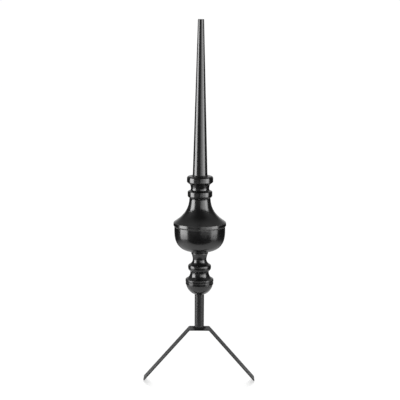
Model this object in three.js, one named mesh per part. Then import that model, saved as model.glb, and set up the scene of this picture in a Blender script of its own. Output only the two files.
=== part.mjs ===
// A roof finial on a ridge saddle: a long tapering spire over a collared bell, a deep bowl,
// a turned stem and a half ball, all carried by a round tube that is welded to a strap bent
// to straddle the ridge of a roof.
// Millimetres, +Z up. z = 0 is the plane that the saddle's two feet stand on, and the Z axis
// is the axis of the turned pieces. X runs across the ridge, from foot to foot.

import * as THREE from "three";

// ---------------------------------------------------------------- driving dimensions
const GAP = 0.3; // clearance between neighbouring pieces
const FACETS = 36; // sides of every turned piece

// Ridge saddle: one strap, a level top and two sloping legs
const STRAP_WIDTH = 40; // along the ridge
const STRAP_THICK = 3;
const SADDLE_TOP = 141; // height of the level top's upper face
const SADDLE_TOP_HALF = 27; // half length of the level top, to the outer corner of the bend
const LEG_ANGLE = 48.8; // degrees below the horizontal
const BEND_RADIUS = 3; // inside of the bend
const BEND_STEPS = 5;

// Tube
const TUBE_RADIUS = 12.5;
const TUBE_SOCKET = 20; // depth of the tube inside the half ball
const WELD_LEG = 3.4; // size of the fillet weld at the tube's foot

// Half ball and its band
const BALL_RADIUS = 35.8;
const BALL_CENTRE = 267; // height
const BAND_RADIUS = 36.5;
const BAND_LOW = 261;
const BAND_HIGH = 268.2;
const SPIGOT_RADIUS = 35; // where the band's neck enters the stem's lip
const SPIGOT_TOP = 272.4;

// Stem
const STEM_LIP_LOW = 269.2;
const STEM_LIP_HIGH = 276;
const STEM_LIP_RADIUS = 37;
const LOWER_WAIST_RADIUS = 24.3;
const LOWER_WAIST = 293.5;
const KNOP_LOW = 298;
const KNOP_HIGH = 313.2;
const KNOP_RADIUS = 30.3;
const KNOP_BELLY = 307; // height of the knop's widest point
const UPPER_WAIST_RADIUS = 18.1;
const UPPER_WAIST = 328.8;
const STEM_BEAD_RADIUS = 22.5; // thin bead under the bowl
const STEM_BEAD_HALF = 2.2;
const STEM_TOP = 347.6;

// Bowl
const BOWL_RADIUS = 66.9;
const BOWL_SHOULDER = 417; // height of the narrow ledge under the bell's rim
const BOWL_LEVEL = 411; // where the wall starts to curve in
const BOWL_DEPTH = 61.4; // from that level to the underside
const BOWL_POWER = 2.95; // roundness of the curve: 2 is an ellipse
const BOWL_SPIGOT_RADIUS = 62.5;
const BOWL_SPIGOT_TOP = 422.4;

// Bell, its rolled rim and its two collars
const RIM_LOW = 418.6;
const RIM_HIGH = 428.1;
const RIM_RADIUS = 69.3;
const BELL_NECK_RADIUS = 27.9;
const BELL_NECK = 489.9;
const LOWER_COLLAR_LOW = 494;
const LOWER_COLLAR_HIGH = 511.5;
const LOWER_COLLAR_RADIUS = 32.3;
const SCOTIA_FOOT_RADIUS = 26.1; // where the hollow between the collars leaves the lower one
const SCOTIA_FOOT = 513.2;
const UPPER_COLLAR_LOW = 528.2;
const UPPER_COLLAR_HIGH = 551;
const UPPER_COLLAR_RADIUS = 34.4;

// Spire
const SPIRE_FOOT = 549; // bottom of the shallow seat in the upper collar
const SPIRE_FOOT_RADIUS = 21.4;
const SPIRE_FLARE = 555; // where the foot starts to flare
const SPIRE_BASE_RADIUS = 19.2; // at the flare
const SPIRE_TIP_RADIUS = 8;
const SPIRE_TIP = 957;
const SPIRE_TIP_EDGE = 1.1;

// ---------------------------------------------------------------- shape helpers
const rad = (degrees) => (degrees * Math.PI) / 180;

// Points of an arc in the (radius, height) plane, between two angles in degrees.
const arc = (r, z, radius, from, to, steps) =>
  Array.from({ length: steps + 1 }, (_, i) => {
    const a = rad(from + ((to - from) * i) / steps);
    return [r + radius * Math.cos(a), z + radius * Math.sin(a)];
  });

// A smooth run from a to b that leaves a along headingA and arrives at b along headingB
// (degrees, 0 is outwards and 90 is up). pullA and pullB are how far it keeps each heading.
const sweep = (a, headingA, pullA, b, headingB, pullB, steps) =>
  new THREE.CubicBezierCurve(
    new THREE.Vector2(...a),
    new THREE.Vector2(a[0] + pullA * Math.cos(rad(headingA)), a[1] + pullA * Math.sin(rad(headingA))),
    new THREE.Vector2(b[0] - pullB * Math.cos(rad(headingB)), b[1] - pullB * Math.sin(rad(headingB))),
    new THREE.Vector2(...b),
  )
    .getPoints(steps)
    .map((p) => [p.x, p.y]);

// A quarter of a superellipse that hangs from `level`, from the axis side out to the wall.
const hangingBowl = (radius, level, depth, power, innerRadius, steps) => {
  const out = [];
  const start = Math.acos(Math.pow(innerRadius / radius, power / 2));
  for (let i = 0; i <= steps; i++) {
    const t = start * (1 - i / steps);
    out.push([
      radius * Math.pow(Math.cos(t), 2 / power),
      level - depth * Math.pow(Math.sin(t), 2 / power),
    ]);
  }
  return out;
};

// A solid of revolution from a profile that runs upwards, from the axis back to the axis.
// Points that nearly coincide are dropped.
const turned = (profile) => {
  const points = [];
  for (const [r, z] of profile) {
    const last = points[points.length - 1];
    if (last && Math.hypot(last.x - r, last.y - z) < 0.05) continue;
    points.push(new THREE.Vector2(Math.max(r, 0), z));
  }
  return new THREE.LatheGeometry(points, FACETS).rotateX(Math.PI / 2);
};

const finial = new THREE.Group();
const blackPaint = () => new THREE.MeshStandardMaterial({ color: 0x17171a, roughness: 0.32, metalness: 0.0 });
const blackSteel = () => new THREE.MeshStandardMaterial({ color: 0x1d1d1f, roughness: 0.48, metalness: 0.0 });
const add = (name, geometry, material) => {
  const mesh = new THREE.Mesh(geometry, material);
  mesh.name = name;
  finial.add(mesh);
};

// ---------------------------------------------------------------- ridge saddle
// The strap's side view, drawn as its outer outline and then its inner one, and extruded
// along the ridge.
{
  const half = rad(LEG_ANGLE) / 2;
  const slope = new THREE.Vector2(Math.cos(rad(LEG_ANGLE)), -Math.sin(rad(LEG_ANGLE)));
  // Centre of the right-hand bend: both faces are arcs about it
  const outerRadius = BEND_RADIUS + STRAP_THICK;
  const bendX = SADDLE_TOP_HALF - outerRadius * Math.tan(half);
  const bendZ = SADDLE_TOP - outerRadius;
  const side = (radius) => {
    const points = [];
    for (let i = 0; i <= BEND_STEPS; i++) {
      const a = Math.PI / 2 - (2 * half * i) / BEND_STEPS;
      points.push(new THREE.Vector2(bendX + radius * Math.cos(a), bendZ + radius * Math.sin(a)));
    }
    return points;
  };
  const outer = side(outerRadius);
  const inner = side(BEND_RADIUS);
  // Each leg runs on from its bend until its lower corner touches z = 0, cut square
  const innerEnd = inner[inner.length - 1];
  const run = innerEnd.y / -slope.y;
  const foot = (from) => from[from.length - 1].clone().addScaledVector(slope, run);
  const right = [...outer, foot(outer), foot(inner), ...inner.reverse()];
  const left = right.map((p) => new THREE.Vector2(-p.x, p.y)).reverse();
  const outline = new THREE.Shape([...right, ...left]);
  const geometry = new THREE.ExtrudeGeometry(outline, { depth: STRAP_WIDTH, bevelEnabled: false, curveSegments: 1 });
  geometry.translate(0, 0, -STRAP_WIDTH / 2).rotateX(Math.PI / 2);
  add("ridge_saddle", geometry, blackSteel());
}

// ---------------------------------------------------------------- tube and its weld
{
  const foot = SADDLE_TOP + GAP;
  const ballBottom = BALL_CENTRE - Math.sqrt(BALL_RADIUS ** 2 - TUBE_RADIUS ** 2);
  const top = ballBottom + TUBE_SOCKET;
  add(
    "mount_tube",
    turned([
      [0, foot],
      [TUBE_RADIUS + WELD_LEG, foot],
      // the weld's face bulges a little
      ...sweep([TUBE_RADIUS + WELD_LEG, foot + 0.6], 100, 1.4, [TUBE_RADIUS, foot + WELD_LEG + 0.4], 165, 1.0, 3),
      [TUBE_RADIUS, top],
      [0, top],
    ]),
    blackSteel(),
  );
}

// ---------------------------------------------------------------- half ball
{
  const socketRadius = TUBE_RADIUS + GAP;
  const mouth = BALL_CENTRE - Math.sqrt(BALL_RADIUS ** 2 - socketRadius ** 2);
  const socketTop = BALL_CENTRE - Math.sqrt(BALL_RADIUS ** 2 - TUBE_RADIUS ** 2) + TUBE_SOCKET + GAP;
  const mouthAngle = (Math.atan2(mouth - BALL_CENTRE, socketRadius) * 180) / Math.PI;
  const bandAngle = (Math.asin((BAND_LOW - BALL_CENTRE) / BALL_RADIUS) * 180) / Math.PI;
  add(
    "base_ball",
    turned([
      [0, socketTop],
      [socketRadius, socketTop],
      ...arc(0, BALL_CENTRE, BALL_RADIUS, mouthAngle, bandAngle, 8),
      [BAND_RADIUS, BAND_LOW + 0.4],
      ...arc(BAND_RADIUS - 1, BAND_HIGH - 1, 1, 0, 90, 2),
      [SPIGOT_RADIUS, BAND_HIGH],
      [SPIGOT_RADIUS, SPIGOT_TOP],
      [0, SPIGOT_TOP],
    ]),
    blackPaint(),
  );
}

// ---------------------------------------------------------------- stem
{
  const recess = SPIGOT_RADIUS + GAP;
  add(
    "stem",
    turned([
      [0, SPIGOT_TOP + GAP],
      [recess, SPIGOT_TOP + GAP],
      [recess, STEM_LIP_LOW],
      [STEM_LIP_RADIUS - 0.8, STEM_LIP_LOW],
      [STEM_LIP_RADIUS, STEM_LIP_LOW + 0.8],
      // rounded top of the lip, and the hollow skirt up to the lower waist
      ...arc(STEM_LIP_RADIUS - 1.6, STEM_LIP_HIGH - 1.6, 1.6, 0, 60, 2),
      ...sweep([STEM_LIP_RADIUS - 1.2, STEM_LIP_HIGH + 0.1], 157, 10.5, [LOWER_WAIST_RADIUS, LOWER_WAIST], 90, 5.5, 6),
      // upper knop: its side leans in from its widest point, a little upwards to a crisp edge
      // and far more downwards
      [LOWER_WAIST_RADIUS + 0.3, KNOP_LOW - 1.3],
      ...sweep([LOWER_WAIST_RADIUS + 1.4, KNOP_LOW], 28, 3.5, [KNOP_RADIUS, KNOP_BELLY], 90, 4.8, 4),
      ...arc(KNOP_RADIUS - 1.7, KNOP_HIGH - 1.3, 1.3, 8, 58, 2),
      // hollow neck, drawn in to the upper waist and out again in a long taper to the bead
      ...sweep([KNOP_RADIUS - 0.9, KNOP_HIGH + 0.1], 149, 5.9, [UPPER_WAIST_RADIUS, UPPER_WAIST], 92, 9, 5),
      ...sweep([UPPER_WAIST_RADIUS, UPPER_WAIST], 88, 4, [STEM_BEAD_RADIUS - 1.5, STEM_TOP - 2 * STEM_BEAD_HALF - 1], 72, 4, 3),
      ...arc(STEM_BEAD_RADIUS - STEM_BEAD_HALF, STEM_TOP - STEM_BEAD_HALF, STEM_BEAD_HALF, -60, 90, 4),
      [0, STEM_TOP],
    ]),
    blackPaint(),
  );
}

// ---------------------------------------------------------------- bowl
// Its underside is flattened where it sits on the stem.
{
  const seat = STEM_TOP + GAP;
  const curve = hangingBowl(BOWL_RADIUS, BOWL_LEVEL, BOWL_DEPTH, BOWL_POWER, STEM_BEAD_RADIUS - 2, 12);
  add(
    "bowl",
    turned([
      [0, seat],
      [curve[0][0], seat],
      ...curve.filter((p) => p[1] > seat + 0.05),
      ...arc(BOWL_RADIUS - 1.2, BOWL_SHOULDER - 1.2, 1.2, 0, 90, 3),
      [BOWL_SPIGOT_RADIUS, BOWL_SHOULDER],
      [BOWL_SPIGOT_RADIUS, BOWL_SPIGOT_TOP],
      [0, BOWL_SPIGOT_TOP],
    ]),
    blackPaint(),
  );
}

// ---------------------------------------------------------------- bell with its collars
{
  const recess = BOWL_SPIGOT_RADIUS + GAP;
  const seatRadius = SPIRE_FOOT_RADIUS + GAP;
  add(
    "bell_cap",
    turned([
      [0, BOWL_SPIGOT_TOP + GAP],
      [recess, BOWL_SPIGOT_TOP + GAP],
      [recess, RIM_LOW],
      // rim: rolled underside, upright face and a crisp upper edge
      ...arc(RIM_RADIUS - 1.8, RIM_LOW + 1.8, 1.8, -90, 0, 3),
      ...arc(RIM_RADIUS - 1.4, RIM_HIGH - 1.4, 1.4, 0, 50, 2),
      // bell
      ...sweep([RIM_RADIUS - 0.9, RIM_HIGH - 0.1], 145.7, 23.7, [BELL_NECK_RADIUS, BELL_NECK], 92, 31.9, 11),
      // lower collar, over a narrow groove
      [BELL_NECK_RADIUS - 0.9, LOWER_COLLAR_LOW - 2.2],
      ...arc(LOWER_COLLAR_RADIUS - 5.2, LOWER_COLLAR_LOW + 5.2, 5.2, -65, 0, 3),
      ...arc(LOWER_COLLAR_RADIUS - 3, LOWER_COLLAR_HIGH - 3, 3, 0, 60, 3),
      // scotia between the collars: a tight hollow at its foot that opens into a long taper
      ...sweep([SCOTIA_FOOT_RADIUS, SCOTIA_FOOT], 150, 3.8, [UPPER_COLLAR_RADIUS - 8.4, UPPER_COLLAR_LOW], 74, 6, 6),
      // upper collar: sloping underside, straight side, rounded top edge
      ...arc(UPPER_COLLAR_RADIUS - 2.4, UPPER_COLLAR_LOW + 8, 2.4, -58, 0, 2),
      ...arc(UPPER_COLLAR_RADIUS - 5.4, UPPER_COLLAR_HIGH - 5.8, 5.4, 0, 80, 4),
      [seatRadius, UPPER_COLLAR_HIGH],
      [seatRadius, SPIRE_FOOT - GAP],
      [0, SPIRE_FOOT - GAP],
    ]),
    blackPaint(),
  );
}

// ---------------------------------------------------------------- spire
{
  const tip = SPIRE_TIP - SPIRE_TIP_EDGE;
  add(
    "spire",
    turned([
      [0, SPIRE_FOOT],
      [SPIRE_FOOT_RADIUS, SPIRE_FOOT],
      [SPIRE_FOOT_RADIUS, UPPER_COLLAR_HIGH + 0.6],
      ...sweep([SPIRE_FOOT_RADIUS, UPPER_COLLAR_HIGH + 0.6], 135, 2.4, [SPIRE_BASE_RADIUS, SPIRE_FLARE], 91.6, 1.8, 4),
      ...arc(SPIRE_TIP_RADIUS - SPIRE_TIP_EDGE, tip, SPIRE_TIP_EDGE, 0, 90, 2),
      [0, SPIRE_TIP],
    ]),
    blackPaint(),
  );
}

export default finial;
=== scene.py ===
import bpy
import bmesh
import math
from mathutils import Matrix, Vector, noise


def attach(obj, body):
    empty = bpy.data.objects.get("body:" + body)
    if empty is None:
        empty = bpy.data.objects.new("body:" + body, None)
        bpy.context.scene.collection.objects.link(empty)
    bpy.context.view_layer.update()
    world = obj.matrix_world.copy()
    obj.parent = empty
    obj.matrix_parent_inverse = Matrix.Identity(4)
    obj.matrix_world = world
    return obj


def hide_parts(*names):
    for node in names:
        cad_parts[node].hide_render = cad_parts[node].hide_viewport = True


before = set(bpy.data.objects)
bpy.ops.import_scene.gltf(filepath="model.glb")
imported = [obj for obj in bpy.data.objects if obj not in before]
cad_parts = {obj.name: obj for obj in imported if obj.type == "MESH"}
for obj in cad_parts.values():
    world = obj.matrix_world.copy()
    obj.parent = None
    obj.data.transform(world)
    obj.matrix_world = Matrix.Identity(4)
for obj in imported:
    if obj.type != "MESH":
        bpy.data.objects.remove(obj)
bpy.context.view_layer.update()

MM = 0.001

# ---------------------------------------------------------------- the object's sizes, in mm
STRAP_WIDTH, STRAP_THICK = 40.0, 3.0
SADDLE_TOP, SADDLE_TOP_HALF, LEG_ANGLE, BEND_RADIUS = 141.0, 27.0, 48.8, 3.0
TUBE_RADIUS, TUBE_SOCKET, WELD_LEG = 12.5, 20.0, 3.4
BALL_RADIUS, BALL_CENTRE = 35.8, 267.0
BAND_RADIUS, BAND_LOW, BAND_HIGH = 36.5, 261.0, 268.2
SPIGOT_RADIUS, SPIGOT_TOP = 35.0, 272.4
STEM_LIP_LOW, STEM_LIP_HIGH, STEM_LIP_RADIUS = 269.2, 276.0, 37.0
LOWER_WAIST_RADIUS, LOWER_WAIST = 24.3, 293.5
KNOP_LOW, KNOP_HIGH, KNOP_RADIUS, KNOP_BELLY, KNOP_BULGE = 298.0, 313.2, 30.3, 307.0, 35.0
UPPER_WAIST_RADIUS, UPPER_WAIST = 18.1, 328.8
STEM_BEAD_RADIUS, STEM_BEAD_HALF, STEM_TOP = 22.5, 2.2, 347.6
BOWL_RADIUS, BOWL_SHOULDER, BOWL_LEVEL, BOWL_DEPTH, BOWL_POWER = 66.9, 417.0, 411.0, 61.4, 2.95
BOWL_SPIGOT_RADIUS, BOWL_SPIGOT_TOP = 62.5, 422.4
RIM_LOW, RIM_HIGH, RIM_RADIUS = 418.6, 428.1, 69.3
BELL_NECK_RADIUS, BELL_NECK = 27.9, 489.9
LOWER_COLLAR_LOW, LOWER_COLLAR_HIGH, LOWER_COLLAR_RADIUS = 494.0, 511.5, 32.3
SCOTIA_FOOT_RADIUS, SCOTIA_FOOT = 26.1, 513.2
UPPER_COLLAR_LOW, UPPER_COLLAR_HIGH, UPPER_COLLAR_RADIUS = 528.2, 551.0, 34.4
SPIRE_FOOT, SPIRE_FOOT_RADIUS, SPIRE_FLARE, SPIRE_BASE_RADIUS = 549.0, 21.4, 555.0, 19.2
SPIRE_TIP_RADIUS, SPIRE_TIP, SPIRE_TIP_EDGE = 8.0, 957.0, 1.1
GAP = 0.3


# ---------------------------------------------------------------- profiles
def arc(r, z, radius, start, end, steps=14):
    out = []
    for i in range(steps + 1):
        a = math.radians(start + (end - start) * i / steps)
        out.append((r + radius * math.cos(a), z + radius * math.sin(a)))
    return out


def sweep(a, heading_a, pull_a, b, heading_b, pull_b, steps=26):
    """A smooth run from a to b; headings in degrees, 0 outwards and 90 up."""
    ax, az = math.cos(math.radians(heading_a)), math.sin(math.radians(heading_a))
    bx, bz = math.cos(math.radians(heading_b)), math.sin(math.radians(heading_b))
    p = (a, (a[0] + pull_a * ax, a[1] + pull_a * az), (b[0] - pull_b * bx, b[1] - pull_b * bz), b)
    out = []
    for i in range(steps + 1):
        t = i / steps
        w = ((1 - t) ** 3, 3 * t * (1 - t) ** 2, 3 * t * t * (1 - t), t ** 3)
        out.append((sum(w[k] * p[k][0] for k in range(4)), sum(w[k] * p[k][1] for k in range(4))))
    return out


def hanging_bowl(inner, steps=70):
    start = math.acos((inner / BOWL_RADIUS) ** (BOWL_POWER / 2))
    out = []
    for i in range(steps + 1):
        t = start * (1 - i / steps)
        out.append((BOWL_RADIUS * math.cos(t) ** (2 / BOWL_POWER), BOWL_LEVEL - BOWL_DEPTH * math.sin(t) ** (2 / BOWL_POWER)))
    return out


def thin_out(points, least=0.04):
    out = [points[0]]
    for p in points[1:]:
        if math.dist(p, out[-1]) >= least:
            out.append(p)
    if math.dist(points[-1], out[-1]) > 1e-6:
        out[-1] = points[-1]
    return out


def eased(points, radius, steps=5):
    """Rounds every corner of a profile sharper than 16 degrees, as paint and a spinning tool leave it."""
    out = [points[0]]
    n = len(points)
    for i in range(1, n - 1):
        a, b, c = Vector(points[i - 1]), Vector(points[i]), Vector(points[i + 1])
        u, v = (b - a), (c - b)
        lu, lv = u.length, v.length
        u.normalize(); v.normalize()
        turn = math.acos(max(-1.0, min(1.0, u.dot(v))))
        if turn < math.radians(16):
            out.append(tuple(b))
            continue
        t = min(radius * math.tan(turn / 2), 0.45 * lu, 0.45 * lv)
        p, q = b - u * t, b + v * t
        for k in range(steps + 1):
            w = k / steps
            out.append(tuple(p * (1 - w) ** 2 + b * 2 * w * (1 - w) + q * w * w))
    out.append(points[-1])
    return out


def supported(points, near=0.35, longest=4.0):
    """Adds rings close to both ends of each long straight run, and along it."""
    out = [points[0]]
    for a, b in zip(points, points[1:]):
        length = math.dist(a, b)
        stops = []
        if length > 1.6:
            inner = length - 2 * near
            count = max(1, int(math.ceil(inner / longest)))
            stops = [near + inner * k / count for k in range(count + 1)]
        for s in stops:
            w = s / length
            out.append((a[0] + (b[0] - a[0]) * w, a[1] + (b[1] - a[1]) * w))
        out.append(b)
    return out


def finish_profile(points, radius=0.5):
    return supported(eased(thin_out(points), radius))


# ---------------------------------------------------------------- meshes
def new_object(name, bm, material):
    mesh = bpy.data.meshes.new(name)
    bmesh.ops.recalc_face_normals(bm, faces=bm.faces)
    bm.to_mesh(mesh)
    bm.free()
    for polygon in mesh.polygons:
        polygon.use_smooth = True
    obj = bpy.data.objects.new(name, mesh)
    bpy.context.scene.collection.objects.link(obj)
    mesh.materials.append(material)
    return obj


def turned(name, profile, material, segments=192, wobble=None):
    """A solid of revolution about Z from a profile in mm that starts and ends on the axis."""
    bm = bmesh.new()
    rings = []
    for r, z in profile:
        if r < 1e-6:
            rings.append([bm.verts.new((0, 0, z * MM))])
            continue
        ring = []
        for k in range(segments):
            a = 2 * math.pi * k / segments
            rr, zz = (r, z) if wobble is None else wobble(r, z, a)
            ring.append(bm.verts.new((rr * math.cos(a) * MM, rr * math.sin(a) * MM, zz * MM)))
        rings.append(ring)
    for lower, upper in zip(rings, rings[1:]):
        if len(lower) == 1 and len(upper) == 1:
            continue
        for k in range(segments):
            j = (k + 1) % segments
            if len(lower) == 1:
                bm.faces.new((lower[0], upper[j], upper[k]))
            elif len(upper) == 1:
                bm.faces.new((lower[k], lower[j], upper[0]))
            else:
                bm.faces.new((lower[k], lower[j], upper[j], upper[k]))
    return new_object(name, bm, material)


# ---------------------------------------------------------------- materials
class Nodes:
    def __init__(self, name):
        self.material = bpy.data.materials.new(name)
        self.material.use_nodes = True
        self.tree = self.material.node_tree
        self.tree.nodes.clear()
        self.out = self.add("ShaderNodeOutputMaterial")
        self.shader = self.add("ShaderNodeBsdfPrincipled")
        self.link(self.shader.outputs[0], self.out.inputs[0])

    def add(self, kind, **settings):
        node = self.tree.nodes.new(kind)
        for key, value in settings.items():
            setattr(node, key, value)
        return node

    def link(self, a, b):
        self.tree.links.new(a, b)

    def math(self, operation, a, b=None, clamp=False):
        node = self.add("ShaderNodeMath", operation=operation, use_clamp=clamp)
        for slot, value in enumerate((a, b)):
            if value is None:
                continue
            if isinstance(value, (int, float)):
                node.inputs[slot].default_value = value
            else:
                self.link(value, node.inputs[slot])
        return node.outputs[0]

    def spread(self, value, low, high, to_low, to_high):
        node = self.add("ShaderNodeMapRange")
        node.clamp = True
        self.link(value, node.inputs[0])
        for slot, number in zip((1, 2, 3, 4), (low, high, to_low, to_high)):
            node.inputs[slot].default_value = number
        return node.outputs[0]

    def noise(self, vector, scale, detail=2.0, roughness=0.5):
        node = self.add("ShaderNodeTexNoise")
        self.link(vector, node.inputs["Vector"])
        node.inputs["Scale"].default_value = scale
        node.inputs["Detail"].default_value = detail
        node.inputs["Roughness"].default_value = roughness
        return node.outputs[0]

    def bump(self, height, distance, strength=1.0, after=None):
        node = self.add("ShaderNodeBump")
        node.inputs["Strength"].default_value = strength
        node.inputs["Distance"].default_value = distance
        self.link(height, node.inputs["Height"])
        if after is not None:
            self.link(after, node.inputs["Normal"])
        return node.outputs[0]

    def ramp(self, value, stops):
        node = self.add("ShaderNodeValToRGB")
        elements = node.color_ramp.elements
        while len(elements) < len(stops):
            elements.new(0.5)
        for element, (position, colour) in zip(elements, stops):
            element.position = position
            element.color = (*colour, 1.0)
        self.link(value, node.inputs[0])
        return node.outputs[0]


def spun_paint(name, dark, light, rough_low, rough_high, ring_depth, peel_depth, wear_and_highlight_lines):
    """Black stove enamel over spun metal: faint turning rings, fine orange peel, a little drift in
    colour and gloss, and the barest trace of dust on what faces up."""
    n = Nodes(name)
    place = n.add("ShaderNodeTexCoord").outputs["Object"]
    parts = n.add("ShaderNodeSeparateXYZ")
    n.link(place, parts.inputs[0])
    radius = n.math("SQRT", n.math("ADD", n.math("MULTIPLY", parts.outputs[0], parts.outputs[0]),
                                   n.math("MULTIPLY", parts.outputs[1], parts.outputs[1])))
    section = n.add("ShaderNodeCombineXYZ")
    n.link(radius, section.inputs[0])
    n.link(parts.outputs[2], section.inputs[1])
    rings = n.noise(section.outputs[0], 210.0, 3.0, 0.55)
    slow = n.noise(place, 26.0, 3.0, 0.55)
    cloud = n.noise(place, 95.0, 3.0, 0.6)
    peel = n.noise(place, 620.0, 2.0, 0.5)
    grain = n.noise(place, 2400.0, 2.0, 0.5)
    # colour
    facing = n.add("ShaderNodeNewGeometry").outputs["Normal"]
    facing_parts = n.add("ShaderNodeSeparateXYZ")
    n.link(facing, facing_parts.inputs[0])
    dust = n.math("MULTIPLY", n.spread(facing_parts.outputs[2], 0.45, 1.0, 0.0, 1.0), n.spread(cloud, 0.35, 0.7, 0.15, 1.0))
    tone = n.math("ADD", n.math("MULTIPLY", slow, 0.75), n.math("MULTIPLY", grain, 0.25), clamp=True)
    paint = n.ramp(tone, ((0.25, dark), (0.75, light)))
    mix = n.add("ShaderNodeMix", data_type="RGBA")
    n.link(n.math("MULTIPLY", dust, 0.008), mix.inputs[0])
    n.link(paint, mix.inputs[6])
    mix.inputs[7].default_value = (0.11, 0.105, 0.10, 1)
    # painted highlight and wear: a lighter colour on the sharpest edges and along thin lines at the given heights,
    # partly paint rubbed thin and partly painted highlight
    sharp = n.add("ShaderNodeNewGeometry").outputs["Pointiness"]
    wear_and_highlight_mask = n.spread(sharp, 0.51, 0.56, 0.0, 1.0)
    # painted highlight: each listed height gets a thin band of the lighter colour where a bright line of reflected
    # light falls
    for height, reach, least_radius, amount in wear_and_highlight_lines:
        away = n.math("ABSOLUTE", n.math("SUBTRACT", parts.outputs[2], height * MM))
        highlight_line = n.math("MULTIPLY", n.spread(away, 0.4 * reach * MM, reach * MM, amount, 0.0),
                      n.spread(radius, (least_radius - 0.3) * MM, least_radius * MM, 0.0, 1.0))
        wear_and_highlight_mask = n.math("MAXIMUM", wear_and_highlight_mask, highlight_line)
    wear_and_highlight_mask = n.math("MULTIPLY", wear_and_highlight_mask, n.spread(cloud, 0.3, 0.6, 0.55, 1.0))
    wear_and_highlight_mix = n.add("ShaderNodeMix", data_type="RGBA")
    n.link(wear_and_highlight_mask, wear_and_highlight_mix.inputs[0])
    n.link(mix.outputs[2], wear_and_highlight_mix.inputs[6])
    # the lighter colour of the painted highlight lines and rubbed edges
    wear_and_highlight_mix.inputs[7].default_value = (0.12, 0.119, 0.117, 1)
    n.link(wear_and_highlight_mix.outputs[2], n.shader.inputs["Base Color"])
    # gloss
    gloss = n.math("ADD", n.math("MULTIPLY", cloud, 0.6), n.math("MULTIPLY", rings, 0.4))
    rough = n.spread(gloss, 0.32, 0.68, rough_low, rough_high)
    n.link(n.math("ADD", rough, n.math("MULTIPLY", dust, 0.03), clamp=True), n.shader.inputs["Roughness"])
    # relief
    relief = n.bump(rings, ring_depth)
    relief = n.bump(slow, ring_depth * 2.0, after=relief)
    relief = n.bump(peel, peel_depth, after=relief)
    n.link(relief, n.shader.inputs["Normal"])
    n.shader.inputs["IOR"].default_value = 1.5
    n.shader.inputs["Metallic"].default_value = 0.0
    return n.material


def strap_paint(name, dark, light, rough_low, rough_high, relief_depth, ior):
    """Matt black paint over hot-rolled steel: a soft mottle, drawn marks along the strap and fine pitting."""
    n = Nodes(name)
    place = n.add("ShaderNodeTexCoord").outputs["Object"]
    mapping = n.add("ShaderNodeMapping")
    mapping.inputs["Scale"].default_value = (1.0, 7.0, 1.0)
    n.link(place, mapping.inputs[0])
    drawn = n.noise(mapping.outputs[0], 55.0, 4.0, 0.6)
    cloud = n.noise(place, 70.0, 4.0, 0.6)
    fine = n.noise(place, 900.0, 3.0, 0.6)
    pit = n.noise(place, 2600.0, 2.0, 0.5)
    tone = n.math("ADD", n.math("MULTIPLY", cloud, 0.6), n.math("MULTIPLY", drawn, 0.4), clamp=True)
    n.link(n.ramp(tone, ((0.3, dark), (0.7, light))), n.shader.inputs["Base Color"])
    # the paint lies dry and matt on the weld and just around it
    parts = n.add("ShaderNodeSeparateXYZ")
    n.link(place, parts.inputs[0])
    radius = n.math("SQRT", n.math("ADD", n.math("MULTIPLY", parts.outputs[0], parts.outputs[0]),
                                   n.math("MULTIPLY", parts.outputs[1], parts.outputs[1])))
    dry = n.math("MULTIPLY", n.spread(radius, 0.016, 0.020, 0.34, 0.0), n.spread(parts.outputs[2], 0.1455, 0.149, 1.0, 0.0))
    gloss = n.math("ADD", n.math("MULTIPLY", cloud, 0.5), n.math("MULTIPLY", fine, 0.5))
    rough = n.spread(gloss, 0.32, 0.68, rough_low, rough_high)
    n.link(n.math("ADD", rough, dry, clamp=True), n.shader.inputs["Roughness"])
    relief = n.bump(drawn, relief_depth * 2)
    relief = n.bump(fine, relief_depth, after=relief)
    relief = n.bump(pit, relief_depth * 0.4, after=relief)
    n.link(relief, n.shader.inputs["Normal"])
    n.shader.inputs["IOR"].default_value = ior
    n.shader.inputs["Metallic"].default_value = 0.0
    return n.material


# the last tuple lists the heights of thin painted highlight lines on the bowl shoulder, rim and stem lip
body_paint = spun_paint("black_satin_paint", (0.0015, 0.0015, 0.0016), (0.0030, 0.0030, 0.0031), 0.17, 0.23, 0.0000035, 0.0000035,
                        ((BOWL_SHOULDER, 0.6, BOWL_RADIUS - 2.6, 0.8), (RIM_LOW + 0.35, 0.65, RIM_RADIUS - 2.2, 1.0),
                         (RIM_HIGH - 0.6, 0.9, RIM_RADIUS - 2.4, 0.25), (STEM_LIP_HIGH - 1.3, 0.9, STEM_LIP_RADIUS - 2, 0.35)))
bracket_paint = strap_paint("black_matt_paint", (0.013, 0.013, 0.0134), (0.022, 0.022, 0.0225), 0.42, 0.52, 0.000004, 1.36)
tube_paint = strap_paint("black_tube_paint", (0.0020, 0.0020, 0.0021), (0.0040, 0.0040, 0.0042), 0.28, 0.35, 0.0000015, 1.5)
# a darker copy of the strap paint: painted shade for the bar's front and back edges
edge_shade_paint = strap_paint("black_edge_shade_paint", (0.0095, 0.0095, 0.0098), (0.016, 0.016, 0.0164), 0.42, 0.52, 0.000004, 1.30)
# darker, duller paint for the weld bead, also used as painted shade on the strap under the tube
weld_and_shade_paint = strap_paint("black_weld_and_shade_paint", (0.0020, 0.0020, 0.0021), (0.0040, 0.0040, 0.0042), 0.45, 0.55, 0.000003, 1.22)


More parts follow.
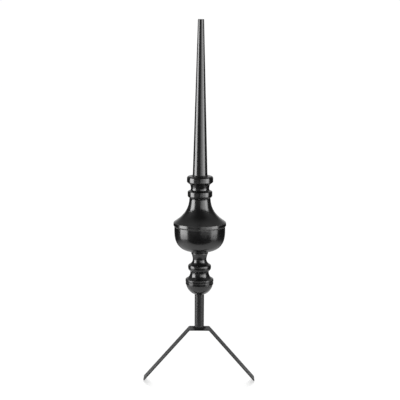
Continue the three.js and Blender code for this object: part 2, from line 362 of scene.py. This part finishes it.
# ---------------------------------------------------------------- ridge saddle
def saddle():
    half = math.radians(LEG_ANGLE) / 2
    slope = Vector((math.cos(2 * half), -math.sin(2 * half)))
    outer_radius = BEND_RADIUS + STRAP_THICK
    cx = SADDLE_TOP_HALF - outer_radius * math.tan(half)
    cz = SADDLE_TOP - outer_radius

    def bend(radius, steps=12):
        return [Vector((cx + radius * math.cos(math.pi / 2 - 2 * half * i / steps),
                        cz + radius * math.sin(math.pi / 2 - 2 * half * i / steps))) for i in range(steps + 1)]

    outer, inner = bend(outer_radius), bend(BEND_RADIUS)
    run = inner[-1].y / -slope.y
    # stations along the right half: level top, bend, leg
    stations = []
    for k in range(9):
        w = k / 8
        stations.append((Vector((outer[0].x * w, outer[0].y)), Vector((inner[0].x * w, inner[0].y))))
    stations += list(zip(outer[1:], inner[1:]))
    for k in range(1, 41):
        d = slope * (run * k / 40)
        stations.append((outer[-1] + d, inner[-1] + d))
    left = [(Vector((-o.x, o.y)), Vector((-i.x, i.y))) for o, i in reversed(stations[1:])]
    stations = left + stations
    # the section at each station is a rectangle with rolled corners: flat along Y, thin across
    corner, corner_steps = 0.55, 4
    half_w, half_t = STRAP_WIDTH / 2, STRAP_THICK / 2
    section = []
    for sy, st, start in ((1, 1, 0), (-1, 1, 90), (-1, -1, 180), (1, -1, 270)):
        for k in range(corner_steps + 1):
            a = math.radians(start + 90 * k / corner_steps)
            section.append((sy * (half_w - corner) + corner * math.cos(a), st * (half_t - corner) + corner * math.sin(a)))
    # support rows just inside each corner, and along the two wide faces
    wide = [-half_w + 1.4 + (2 * half_w - 2.8) * k / 10 for k in range(11)]
    full = []
    count = corner_steps + 1
    full += section[0:count]
    full += [(y, half_t) for y in reversed(wide)]
    full += section[count:3 * count]
    full += [(y, -half_t) for y in wide]
    full += section[3 * count:]
    bm = bmesh.new()
    rings = []
    for index, (o, i) in enumerate(stations):
        centre, across = (o + i) / 2, (o - i).normalized()
        # the sheared ends are very slightly burred: pull the last ring in a touch
        ring = []
        for y, t in full:
            p = centre + across * t
            ring.append(bm.verts.new((p.x * MM, y * MM, p.y * MM)))
        rings.append(ring)
    n = len(full)
    for a, b in zip(rings, rings[1:]):
        for k in range(n):
            j = (k + 1) % n
            bm.faces.new((a[k], a[j], b[j], b[k]))
    # end faces: an inset ring rolls the edge over, and then a flat cap
    for ring, station, other in ((rings[0], stations[0], stations[1]), (rings[-1], stations[-1], stations[-2])):
        (o, i), (o2, i2) = station, other
        outward = ((o + i) - (o2 + i2)).normalized()
        centre, across = (o + i) / 2, (o - i).normalized()
        previous = ring
        for step in range(1, 4):
            a = math.radians(30 * step)
            inset, forward = 0.3 * (1 - math.cos(a)), 0.3 * math.sin(a)
            new = []
            for y, t in full:
                sy = y * (half_w - inset) / half_w
                stt = t * (half_t - inset) / half_t
                p = centre + across * stt + outward * (forward - 0.3)
                new.append(bm.verts.new((p.x * MM, sy * MM, p.y * MM)))
            for k in range(n):
                j = (k + 1) % n
                bm.faces.new((previous[k], previous[j], new[j], new[k]))
            previous = new
        bm.faces.new(previous)
    # the end rings were pushed 0.3 mm back so that the rolled end keeps the true length
    for ring, station, other in ((rings[0], stations[0], stations[1]), (rings[-1], stations[-1], stations[-2])):
        (o, i), (o2, i2) = station, other
        outward = ((o + i) - (o2 + i2)).normalized()
        for v in ring:
            v.co.x -= outward.x * 0.3 * MM
            v.co.z -= outward.y * 0.3 * MM
    obj = new_object("ridge_saddle_strap", bm, bracket_paint)
    # painted shade: the strap gets the darker, duller weld paint across its width right under the tube, where the
    # tube's shade falls
    obj.data.materials.append(weld_and_shade_paint)
    for polygon in obj.data.polygons:
        if abs(polygon.center.x) < 13 * MM and polygon.center.z > (SADDLE_TOP - STRAP_THICK - 0.5) * MM:
            polygon.material_index = 1
    # painted shade: the bar's faces that point along Y, its front and back edges, get a darker copy of the paint than
    # its other faces
    obj.data.materials.append(edge_shade_paint)
    for polygon in obj.data.polygons:
        if abs(polygon.normal.y) > 0.7 and polygon.material_index == 0:
            polygon.material_index = 2
    return obj


# ---------------------------------------------------------------- tube, with its weld as a rippled bead
def tube():
    foot = SADDLE_TOP + GAP * 0.2
    ball_bottom = BALL_CENTRE - math.sqrt(BALL_RADIUS ** 2 - TUBE_RADIUS ** 2)
    profile = [(0, foot), (TUBE_RADIUS + WELD_LEG, foot)]
    profile += sweep((TUBE_RADIUS + WELD_LEG, foot + 0.35), 96, 1.7, (TUBE_RADIUS, foot + WELD_LEG + 0.5), 168, 1.3, 18)
    profile += [(TUBE_RADIUS, ball_bottom + TUBE_SOCKET), (0, ball_bottom + TUBE_SOCKET)]
    profile = finish_profile(profile, 0.3)
    weld_top = foot + WELD_LEG + 0.6

    def ripple(r, z, a):
        """Scalloped puddles of a hand-run weld, leaning over one another, a little uneven."""
        if z > weld_top or r < TUBE_RADIUS - 0.01:
            return r, z
        depth = max(0.0, min(1.0, (r - TUBE_RADIUS) / WELD_LEG))
        height = max(0.0, min(1.0, (z - foot) / (WELD_LEG + 0.5)))
        lean = a + 0.10 * height
        wave = abs(math.sin(lean * 13 + 0.5 * math.sin(3 * a)))
        uneven = noise.noise(Vector((math.cos(a) * 2.1, math.sin(a) * 2.1, 0.4)))
        swell = 0.34 * (wave - 0.55) + 0.35 * uneven
        return r + swell * min(1.0, depth * 3) * (1 if z > foot + 0.05 else 0.6), z + 0.20 * swell * min(1.0, depth * 2) * (1 if z > foot + 0.05 else 0)

    obj = turned("mount_tube_welded", profile, tube_paint, 256, ripple)
    # the weld bead takes the same darker paint that serves as painted shade on the strap
    obj.data.materials.append(weld_and_shade_paint)
    for polygon in obj.data.polygons:
        if polygon.center.z < weld_top * MM:
            polygon.material_index = 1
    return obj


# ---------------------------------------------------------------- half ball
def ball():
    socket = TUBE_RADIUS + GAP
    mouth = BALL_CENTRE - math.sqrt(BALL_RADIUS ** 2 - socket ** 2)
    socket_top = BALL_CENTRE - math.sqrt(BALL_RADIUS ** 2 - TUBE_RADIUS ** 2) + TUBE_SOCKET + GAP
    low = math.degrees(math.atan2(mouth - BALL_CENTRE, socket))
    high = math.degrees(math.asin((BAND_LOW - BALL_CENTRE) / BALL_RADIUS))
    profile = [(0, socket_top), (socket, socket_top)]
    profile += arc(0, BALL_CENTRE, BALL_RADIUS, low, high, 46)
    profile += [(BAND_RADIUS - 0.5, BAND_LOW), (BAND_RADIUS, BAND_LOW + 0.5)]
    profile += arc(BAND_RADIUS - 1, BAND_HIGH - 1, 1, 0, 90, 6)
    profile += [(SPIGOT_RADIUS, BAND_HIGH), (SPIGOT_RADIUS, SPIGOT_TOP), (0, SPIGOT_TOP)]
    return turned("half_ball_shell", finish_profile(profile, 0.35), body_paint)


# ---------------------------------------------------------------- stem
def stem():
    recess = SPIGOT_RADIUS + GAP
    profile = [(0, SPIGOT_TOP + GAP), (recess, SPIGOT_TOP + GAP), (recess, STEM_LIP_LOW),
               (STEM_LIP_RADIUS - 0.8, STEM_LIP_LOW), (STEM_LIP_RADIUS, STEM_LIP_LOW + 0.8)]
    profile += arc(STEM_LIP_RADIUS - 1.6, STEM_LIP_HIGH - 1.6, 1.6, 0, 60, 10)
    profile += sweep((STEM_LIP_RADIUS - 1.2, STEM_LIP_HIGH + 0.1), 157, 10.5, (LOWER_WAIST_RADIUS, LOWER_WAIST), 90, 5.5)
    profile += [(LOWER_WAIST_RADIUS + 0.3, KNOP_LOW - 1.3)]
    profile += sweep((LOWER_WAIST_RADIUS + 1.4, KNOP_LOW), 28, 3.5, (KNOP_RADIUS, KNOP_BELLY), 90, 4.8, 20)
    profile += arc(KNOP_RADIUS - KNOP_BULGE, KNOP_BELLY, KNOP_BULGE, 1, 8.4, 8)
    profile += arc(KNOP_RADIUS - 1.7, KNOP_HIGH - 1.3, 1.3, 9, 58, 10)
    profile += sweep((KNOP_RADIUS - 0.9, KNOP_HIGH + 0.1), 149, 5.9, (UPPER_WAIST_RADIUS, UPPER_WAIST), 92, 9)
    profile += sweep((UPPER_WAIST_RADIUS, UPPER_WAIST), 88, 4,
                     (STEM_BEAD_RADIUS - 1.5, STEM_TOP - 2 * STEM_BEAD_HALF - 1), 72, 4, 18)
    profile += arc(STEM_BEAD_RADIUS - STEM_BEAD_HALF, STEM_TOP - STEM_BEAD_HALF, STEM_BEAD_HALF, -60, 90, 14)
    profile += [(0, STEM_TOP)]
    return turned("stem_turning", finish_profile(profile, 0.5), body_paint)


# ---------------------------------------------------------------- bowl
def bowl():
    seat = STEM_TOP + GAP
    curve = hanging_bowl(STEM_BEAD_RADIUS - 2)
    profile = [(0, seat), (curve[0][0], seat)] + [p for p in curve if p[1] > seat + 0.02]
    profile += arc(BOWL_RADIUS - 1.2, BOWL_SHOULDER - 1.2, 1.2, 0, 90, 8)
    profile += [(BOWL_SPIGOT_RADIUS, BOWL_SHOULDER), (BOWL_SPIGOT_RADIUS, BOWL_SPIGOT_TOP), (0, BOWL_SPIGOT_TOP)]
    return turned("bowl_shell", finish_profile(profile, 0.4), body_paint, 256)


# ---------------------------------------------------------------- bell with its two collars
def bell():
    recess = BOWL_SPIGOT_RADIUS + GAP
    seat = SPIRE_FOOT_RADIUS + GAP
    profile = [(0, BOWL_SPIGOT_TOP + GAP), (recess, BOWL_SPIGOT_TOP + GAP), (recess, RIM_LOW)]
    # the rim's upright face leans in by a quarter of a millimetre
    profile += arc(RIM_RADIUS - 1.8, RIM_LOW + 1.8, 1.8, -90, 2.3, 10)
    profile += arc(RIM_RADIUS - 0.25 - 1.4, RIM_HIGH - 1.4, 1.4, 2.3, 50, 10)
    profile += sweep((RIM_RADIUS - 0.9, RIM_HIGH - 0.1), 145.7, 23.7, (BELL_NECK_RADIUS, BELL_NECK), 92, 31.9, 56)
    profile += [(BELL_NECK_RADIUS - 0.9, LOWER_COLLAR_LOW - 2.2)]
    profile += arc(LOWER_COLLAR_RADIUS - 5.2, LOWER_COLLAR_LOW + 5.2, 5.2, -65, 0, 12)
    profile += arc(LOWER_COLLAR_RADIUS - 3, LOWER_COLLAR_HIGH - 3, 3, 0, 60, 10)
    profile += sweep((SCOTIA_FOOT_RADIUS, SCOTIA_FOOT), 150, 3.8, (UPPER_COLLAR_RADIUS - 8.4, UPPER_COLLAR_LOW), 74, 6, 26)
    profile += arc(UPPER_COLLAR_RADIUS - 2.4, UPPER_COLLAR_LOW + 8, 2.4, -58, 0, 8)
    profile += arc(UPPER_COLLAR_RADIUS - 5.4, UPPER_COLLAR_HIGH - 5.8, 5.4, 0, 80, 14)
    profile += [(seat, UPPER_COLLAR_HIGH), (seat, SPIRE_FOOT - GAP), (0, SPIRE_FOOT - GAP)]
    return turned("bell_and_collars", finish_profile(profile, 0.5), body_paint, 256)


# ---------------------------------------------------------------- spire
def spire():
    profile = [(0, SPIRE_FOOT), (SPIRE_FOOT_RADIUS, SPIRE_FOOT), (SPIRE_FOOT_RADIUS, UPPER_COLLAR_HIGH + 0.6)]
    profile += sweep((SPIRE_FOOT_RADIUS, UPPER_COLLAR_HIGH + 0.6), 135, 2.4, (SPIRE_BASE_RADIUS, SPIRE_FLARE), 91.6, 1.8, 14)
    profile += arc(SPIRE_TIP_RADIUS - SPIRE_TIP_EDGE, SPIRE_TIP - SPIRE_TIP_EDGE, SPIRE_TIP_EDGE, 0, 90, 8)
    profile += [(0, SPIRE_TIP)]
    return turned("spire_cone", finish_profile(profile, 0.4), body_paint, 160)


for build, node, slot in ((saddle, "ridge_saddle", "bracket_paint"), (tube, "mount_tube", "bracket_paint"),
                          (ball, "base_ball", "body_paint"), (stem, "stem", "body_paint"), (bowl, "bowl", "body_paint"),
                          (bell, "bell_cap", "body_paint"), (spire, "spire", "body_paint")):
    piece = build()
    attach(piece, "root")
    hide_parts(node)


# ---------------------------------------------------------------- table top
def make_table():
    """A white table whose front edge lies 0.42 m in front of the finial. For light that bounces off it, its colour
    is painted light: near white by the finial and darkening away from it, as the lamps' light would fall off; straight
    from the lens it is burnt out to white, with a weak, unsharp reflection."""
    mesh = bpy.data.meshes.new("table_top")
    z = -0.0002
    mesh.from_pydata([(-5, -0.42, z), (5, -0.42, z), (5, 9, z), (-5, 9, z)], [], [(0, 1, 2, 3)])
    table = bpy.data.objects.new("table_top", mesh)
    bpy.context.scene.collection.objects.link(table)
    n = Nodes("white_board")
    n.tree.nodes.remove(n.shader)
    board = n.add("ShaderNodeBsdfDiffuse")
    # painted light: the board's colour darkens away from the finial, standing in for the lamps' light falling off
    # across it
    spot = n.add("ShaderNodeNewGeometry").outputs["Position"]
    reach = n.add("ShaderNodeVectorMath", operation="LENGTH")
    n.link(spot, reach.inputs[0])
    painted_light_falloff = n.spread(reach.outputs["Value"], 0.35, 1.1, 0.86, 0.06)
    n.link(painted_light_falloff, board.inputs["Color"])
    white = n.add("ShaderNodeEmission")
    white.inputs["Strength"].default_value = 1.19
    mirror = n.add("ShaderNodeBsdfGlossy")
    mirror.inputs["Roughness"].default_value = 0.0
    # a fine, random unevenness makes the reflection soften with height
    place = n.add("ShaderNodeNewGeometry").outputs["Position"]
    speck = n.add("ShaderNodeTexWhiteNoise")
    bigger = n.add("ShaderNodeVectorMath", operation="SCALE")
    n.link(place, bigger.inputs[0])
    bigger.inputs["Scale"].default_value = 9000.0
    n.link(bigger.outputs[0], speck.inputs["Vector"])
    tilt = n.add("ShaderNodeVectorMath", operation="MULTIPLY_ADD")
    n.link(speck.outputs["Color"], tilt.inputs[0])
    tilt.inputs[1].default_value = (0.18, 0.18, 0.0)
    tilt.inputs[2].default_value = (-0.09, -0.09, 1.0)
    straight = n.add("ShaderNodeVectorMath", operation="NORMALIZE")
    n.link(tilt.outputs[0], straight.inputs[0])
    n.link(straight.outputs[0], mirror.inputs["Normal"])
    burnt = n.add("ShaderNodeMixShader")
    place_parts = n.add("ShaderNodeSeparateXYZ")
    n.link(place, place_parts.inputs[0])
    n.link(n.spread(place_parts.outputs[1], -0.125, -0.02, 0.0, 0.42), burnt.inputs[0])
    n.link(white.outputs[0], burnt.inputs[1])
    n.link(mirror.outputs[0], burnt.inputs[2])
    either = n.add("ShaderNodeMixShader")
    n.link(n.add("ShaderNodeLightPath").outputs["Is Camera Ray"], either.inputs[0])
    n.link(board.outputs[0], either.inputs[1])
    n.link(burnt.outputs[0], either.inputs[2])
    n.link(either.outputs[0], n.out.inputs[0])
    mesh.materials.append(n.material)
    return table


make_table()


# ---------------------------------------------------------------- studio light
def softbox(name, azimuth, distance, width, low, high, radiance):
    """A tall soft light that stands at that azimuth from the axis (0 is towards the viewer, positive to
    the right) and faces it. radiance is in render units; width, low and high are metres."""
    light = bpy.data.lights.new(name, "AREA")
    light.shape = "RECTANGLE"
    light.size = width
    light.size_y = high - low
    light.energy = radiance * math.pi * width * (high - low)
    obj = bpy.data.objects.new(name, light)
    a = math.radians(azimuth)
    centre = Vector((distance * math.sin(a), -distance * math.cos(a), (low + high) / 2))
    obj.location = centre
    facing = Vector((0, 0, centre.z)) - centre
    obj.rotation_euler = facing.to_track_quat("-Z", "Y").to_euler()
    bpy.context.scene.collection.objects.link(obj)
    return obj


softbox("softbox_left", -76, 1.05, 0.74, 0.285, 1.05, 11.4)
softbox("softbox_left_low", -76, 1.05, 0.74, 0.15, 0.285, 8.2)
softbox("softbox_left_foot", -76, 1.04, 0.74, 0.005, 0.135, 5.2)
softbox("softbox_right", 67, 1.05, 0.60, 0.30, 1.10, 7.9)
softbox("softbox_right_low", 67, 1.05, 0.60, 0.18, 0.30, 5.6)
softbox("softbox_right_foot", 67, 1.04, 0.60, 0.005, 0.16, 2.7)
softbox("softbox_right_wing", 39, 1.60, 0.66, 0.18, 1.45, 4.4)
softbox("softbox_right_edge", 17, 2.00, 0.72, 0.33, 1.62, 2.4)
softbox("strip_front_right", 14.5, 2.00, 0.82, 0.12, 0.22, 4.5)
softbox("strip_front_left", -28, 1.70, 1.10, 0.17, 0.27, 1.2)

world = bpy.data.worlds.new("studio")
bpy.context.scene.world = world
world.use_nodes = True
tree = world.node_tree
tree.nodes.clear()
output = tree.nodes.new("ShaderNodeOutputWorld")
plain = tree.nodes.new("ShaderNodeBackground")
plain.inputs[0].default_value = (1, 1, 1, 1)
plain.inputs[1].default_value = 1.02
room = tree.nodes.new("ShaderNodeBackground")
direction = tree.nodes.new("ShaderNodeTexCoord")
split = tree.nodes.new("ShaderNodeSeparateXYZ")
tree.links.new(direction.outputs["Generated"], split.inputs[0])


def world_range(value, low, high, to_low, to_high):
    node = tree.nodes.new("ShaderNodeMapRange")
    node.interpolation_type = "SMOOTHSTEP"
    tree.links.new(value, node.inputs[0])
    for slot, number in zip((1, 2, 3, 4), (low, high, to_low, to_high)):
        node.inputs[slot].default_value = number
    return node.outputs[0]


def world_math(operation, a, b=0.0):
    node = tree.nodes.new("ShaderNodeMath")
    node.operation = operation
    for slot, value in enumerate((a, b)):
        if isinstance(value, (int, float)):
            node.inputs[slot].default_value = value
        else:
            tree.links.new(value, node.inputs[slot])
    return node.outputs[0]


# the room: dim in front at eye level, a little lighter high up at both sides and over the white sweep behind
sideways = world_range(world_math("ABSOLUTE", split.outputs[0]), 0.25, 0.8, 0.0, 1.0)
high_up = world_range(split.outputs[2], 0.3, 0.8, 0.0, 1.0)
in_front = world_range(split.outputs[1], -0.9, 0.1, 1.0, 0.0)
level_height = world_math("MULTIPLY", world_range(split.outputs[2], 0.1, 0.6, 1.0, 0.0),
                          world_range(split.outputs[2], -0.22, -0.11, 0.0, 1.0))
narrow = world_range(world_math("ABSOLUTE", split.outputs[0]), 0.25, 0.6, 1.0, 0.0)
behind = world_math("MULTIPLY", world_math("MULTIPLY", world_range(split.outputs[1], -0.25, 0.25, 0.0, 1.0), narrow),
                    world_range(split.outputs[2], 0.0, 0.14, 0.0, 1.0))
glow = world_math("ADD", world_math("MULTIPLY", world_math("MULTIPLY", sideways, high_up), 0.40),
                  world_math("MULTIPLY", world_math("MULTIPLY", in_front, level_height), 0.15))
sweep_foot = world_math("MULTIPLY", world_math("MULTIPLY", world_range(split.outputs[1], 0.3, 0.8, 0.0, 1.0), narrow),
                        world_math("MULTIPLY", world_range(split.outputs[2], -0.06, 0.0, 0.0, 1.0), world_range(split.outputs[2], 0.08, 0.2, 1.0, 0.0)))
rear = world_math("ADD", world_math("MULTIPLY", behind, 0.48), world_math("MULTIPLY", sweep_foot, 0.6))
level = world_math("ADD", world_math("ADD", glow, rear), 0.09)
room.inputs[0].default_value = (1, 1, 1, 1)
tree.links.new(level, room.inputs[1])
path = tree.nodes.new("ShaderNodeLightPath")
lens_side = world_math("MAXIMUM", path.outputs["Is Camera Ray"], path.outputs["Is Singular Ray"])
either = tree.nodes.new("ShaderNodeMixShader")
tree.links.new(lens_side, either.inputs[0])
tree.links.new(room.outputs[0], either.inputs[1])
tree.links.new(plain.outputs[0], either.inputs[2])
tree.links.new(either.outputs[0], output.inputs[0])

scene = bpy.context.scene
scene.view_settings.view_transform = "Standard"
scene.view_settings.look = "None"
scene.view_settings.exposure = 0.0
scene.view_settings.gamma = 1.0

# ---------------------------------------------------------------- camera
camera_data = bpy.data.cameras.new("camera")
camera_data.sensor_width = 36.0
camera_data.lens = 36.0 * 1300.0 / 400.0
camera_data.clip_end = 60.0
camera = bpy.data.objects.new("camera", camera_data)
bpy.context.scene.collection.objects.link(camera)
pitch, roll = math.radians(9.8), math.radians(0.34)
right = Vector((1, 0, 0))
up = Vector((0, math.sin(pitch), math.cos(pitch)))
back = Vector((0, -math.cos(pitch), math.sin(pitch)))
right_rolled = right * math.cos(roll) + up * math.sin(roll)
up_rolled = up * math.cos(roll) - right * math.sin(roll)
rotation = Matrix((right_rolled, up_rolled, back)).transposed()
camera.matrix_world = Matrix.Translation((0.0001, -3.35945, 1.06714)) @ rotation.to_4x4()
scene.camera = camera
